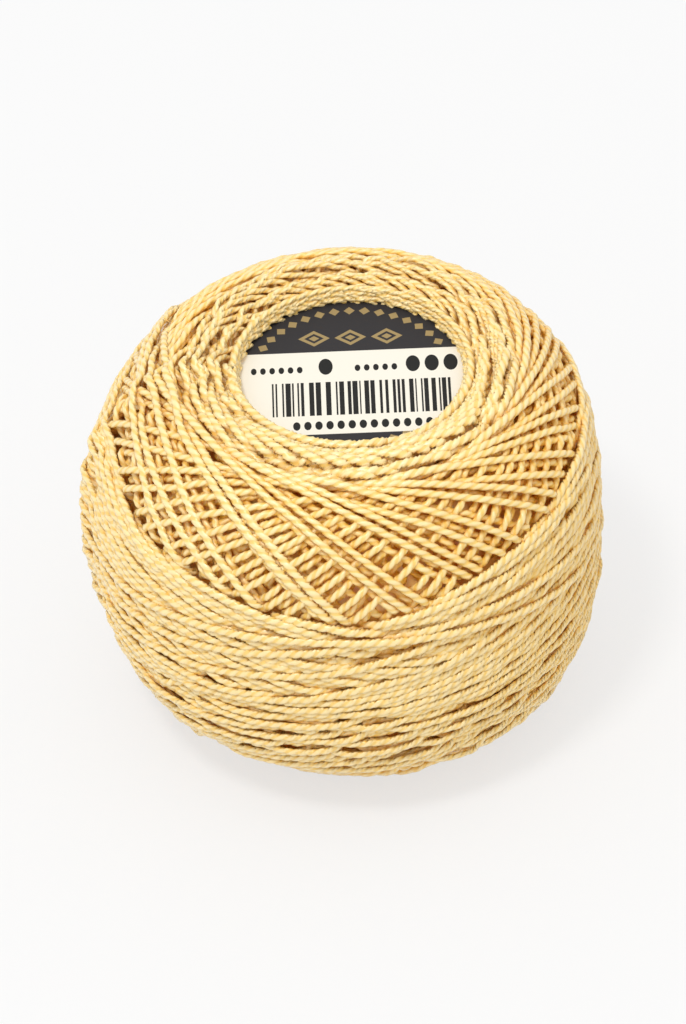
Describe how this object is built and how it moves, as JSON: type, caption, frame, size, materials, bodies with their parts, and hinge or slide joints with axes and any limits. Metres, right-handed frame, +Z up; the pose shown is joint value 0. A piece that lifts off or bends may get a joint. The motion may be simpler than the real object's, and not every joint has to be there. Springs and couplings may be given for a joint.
{
  "type": "ball of pearl cotton",
  "caption": "Barrel shaped ball of wound two-ply cotton thread with a round card label in its top hollow.",
  "frame": {"origin": "centre of the foot ring, on the surface that the ball stands on", "axes": "+Z up along the winding axis, towards the label; -Y is the front, where the label reads upright"},
  "size_m": [0.045, 0.045, 0.036],
  "materials": {
    "thread": "satin",
    "label": "satin"
  },
  "bodies": {
    "root": {"wound_thread": "thread", "label": "label"}
  },
  "joints": []
}
